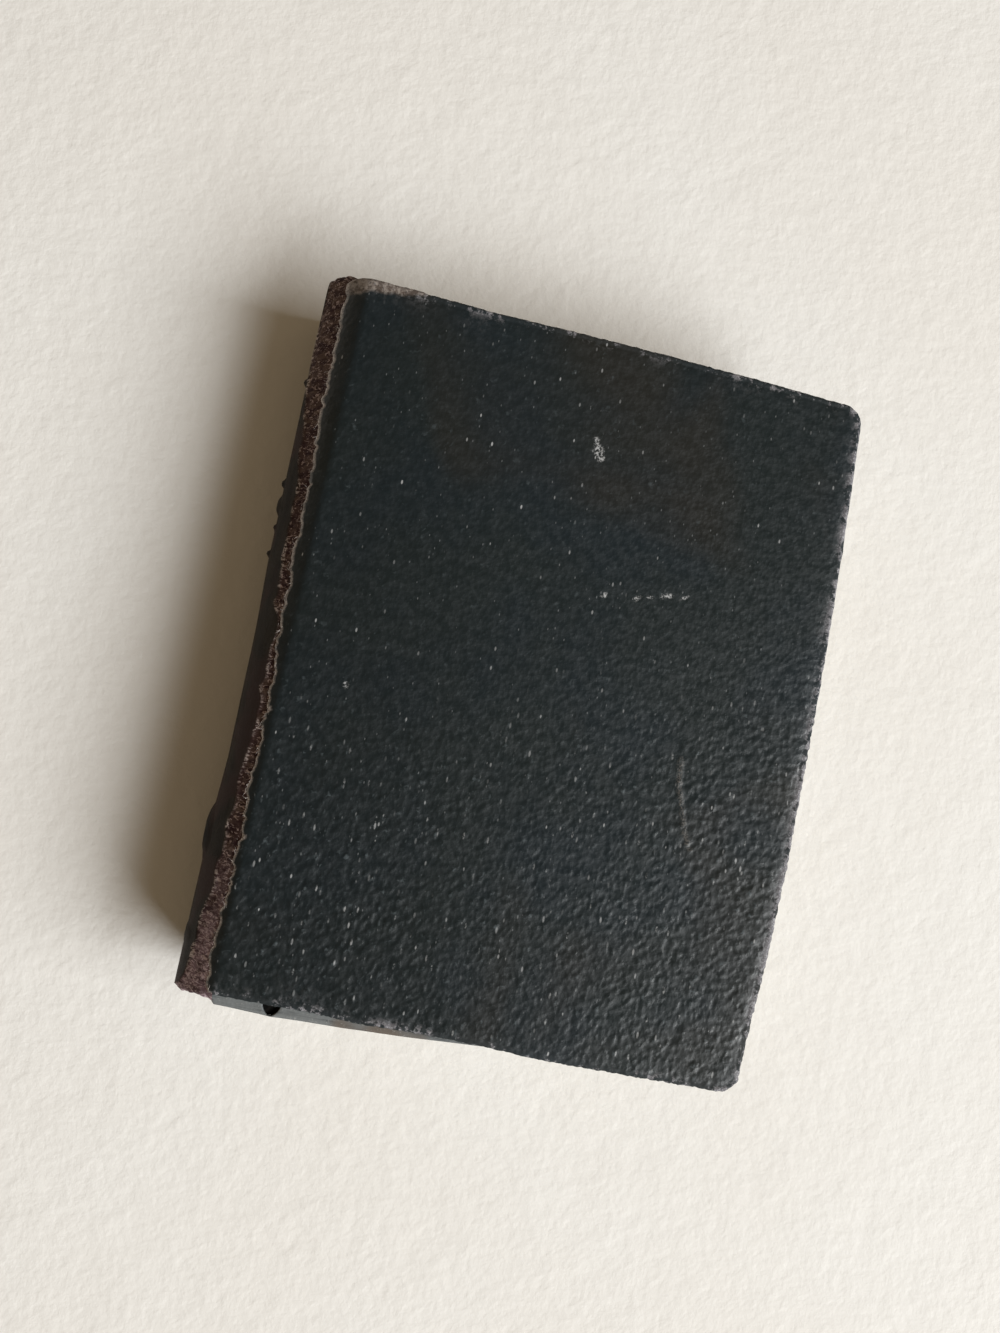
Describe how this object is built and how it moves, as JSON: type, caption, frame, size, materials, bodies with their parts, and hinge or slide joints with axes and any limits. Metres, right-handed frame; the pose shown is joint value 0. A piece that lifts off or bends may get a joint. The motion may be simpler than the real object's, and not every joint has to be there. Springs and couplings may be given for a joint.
{
  "type": "prayer book",
  "caption": "Small pocket prayer book in pebbled black leather with a round spine, worn edges and a sewn text block; both covers and the end leaves turn.",
  "frame": {"origin": "under the middle of the closed book, on the surface that its back cover lies on", "axes": "+X from the spine to the fore-edge, +Y from the tail to the head, +Z from the back cover up to the front cover"},
  "size_m": [0.0606, 0.076, 0.0144],
  "materials": {
    "black_leather": "satin",
    "binder_board": "matte",
    "liner_paper": "matte",
    "endpaper": "matte",
    "page_paper": "matte",
    "gauze": "matte",
    "band_cloth": "matte",
    "linen_thread": "matte"
  },
  "bodies": {
    "text_block": {"spine_leather": "black_leather", "spine_liner": "liner_paper", "spine_gauze": "gauze", "headband": "band_cloth", "tailband": "band_cloth", "sewing_threads": "linen_thread", "sewing_cord_head": "linen_thread", "sewing_cord_middle": "linen_thread", "sewing_cord_tail": "linen_thread", "kettle_stitch_head": "linen_thread", "kettle_stitch_tail": "linen_thread", "gathering_01": "page_paper", "gathering_02": "page_paper", "gathering_03": "page_paper", "gathering_04": "page_paper", "gathering_05": "page_paper", "gathering_06": "page_paper", "gathering_07": "page_paper", "gathering_08": "page_paper", "gathering_09": "page_paper", "gathering_10": "page_paper", "front_guard": "liner_paper", "back_guard": "liner_paper"},
    "front_cover": {"front_board": "binder_board", "front_board_lining": "liner_paper", "front_cover_leather": "black_leather", "front_pastedown": "endpaper"},
    "front_free_endpaper": {"front_free_endpaper": "endpaper"},
    "front_flyleaf": {"front_flyleaf": "page_paper"},
    "half_title_leaf": {"half_title_leaf": "page_paper"},
    "title_leaf": {"title_leaf": "page_paper"},
    "calendar_leaf": {"calendar_leaf": "page_paper"},
    "opening_leaf": {"opening_leaf": "page_paper"},
    "back_cover": {"back_board": "binder_board", "back_board_lining": "liner_paper", "back_cover_leather": "black_leather", "back_pastedown": "endpaper"},
    "back_free_endpaper": {"back_free_endpaper": "endpaper"},
    "back_flyleaf": {"back_flyleaf": "page_paper"},
    "closing_leaf": {"closing_leaf": "page_paper"},
    "index_leaf": {"index_leaf": "page_paper"}
  },
  "joints": [
    {"name": "front_cover_hinge", "type": "hinge", "parent": "text_block", "child": "front_cover", "pos_m": [-0.0257, 0, 0.0145], "axis": [0, -1, 0], "range_deg": [0, 180]},
    {"name": "front_free_endpaper_turn", "type": "hinge", "parent": "front_cover", "child": "front_free_endpaper", "pos_m": [-0.0248, 0, 0.01232], "axis": [0, -1, 0], "range_deg": [-8, 0]},
    {"name": "front_flyleaf_turn", "type": "hinge", "parent": "text_block", "child": "front_flyleaf", "pos_m": [-0.0242, 0, 0.01221], "axis": [0, -1, 0], "range_deg": [0, 101.3]},
    {"name": "half_title_leaf_turn", "type": "hinge", "parent": "text_block", "child": "half_title_leaf", "pos_m": [-0.0242, 0, 0.01209], "axis": [0, -1, 0], "range_deg": [0, 85.1]},
    {"name": "title_leaf_turn", "type": "hinge", "parent": "text_block", "child": "title_leaf", "pos_m": [-0.0242, 0, 0.01196], "axis": [0, -1, 0], "range_deg": [0, 68.9]},
    {"name": "calendar_leaf_turn", "type": "hinge", "parent": "text_block", "child": "calendar_leaf", "pos_m": [-0.0242, 0, 0.01184], "axis": [0, -1, 0], "range_deg": [0, 52.7]},
    {"name": "opening_leaf_turn", "type": "hinge", "parent": "text_block", "child": "opening_leaf", "pos_m": [-0.0242, 0, 0.01172], "axis": [0, -1, 0], "range_deg": [0, 36.5]},
    {"name": "back_cover_hinge", "type": "hinge", "parent": "text_block", "child": "back_cover", "pos_m": [-0.0257, 0, -0.00005], "axis": [0, 1, 0], "range_deg": [0, 180]},
    {"name": "back_free_endpaper_turn", "type": "hinge", "parent": "back_cover", "child": "back_free_endpaper", "pos_m": [-0.0248, 0, 0.00213], "axis": [0, 1, 0], "range_deg": [-8, 0]},
    {"name": "back_flyleaf_turn", "type": "hinge", "parent": "text_block", "child": "back_flyleaf", "pos_m": [-0.0242, 0, 0.00225], "axis": [0, 1, 0], "range_deg": [0, 101.3]},
    {"name": "closing_leaf_turn", "type": "hinge", "parent": "text_block", "child": "closing_leaf", "pos_m": [-0.0242, 0, 0.00236], "axis": [0, 1, 0], "range_deg": [0, 76.1]},
    {"name": "index_leaf_turn", "type": "hinge", "parent": "text_block", "child": "index_leaf", "pos_m": [-0.0242, 0, 0.00248], "axis": [0, 1, 0], "range_deg": [0, 50.9]}
  ],
  "couplings": [
    {"joint": "front_free_endpaper_turn", "follows": "front_cover_hinge", "ratio": -0.04},
    {"joint": "front_flyleaf_turn", "follows": "front_cover_hinge", "ratio": 0.56},
    {"joint": "half_title_leaf_turn", "follows": "front_cover_hinge", "ratio": 0.47},
    {"joint": "title_leaf_turn", "follows": "front_cover_hinge", "ratio": 0.38},
    {"joint": "calendar_leaf_turn", "follows": "front_cover_hinge", "ratio": 0.29},
    {"joint": "opening_leaf_turn", "follows": "front_cover_hinge", "ratio": 0.2},
    {"joint": "back_free_endpaper_turn", "follows": "back_cover_hinge", "ratio": -0.04},
    {"joint": "back_flyleaf_turn", "follows": "back_cover_hinge", "ratio": 0.56},
    {"joint": "closing_leaf_turn", "follows": "back_cover_hinge", "ratio": 0.42},
    {"joint": "index_leaf_turn", "follows": "back_cover_hinge", "ratio": 0.28}
  ]
}
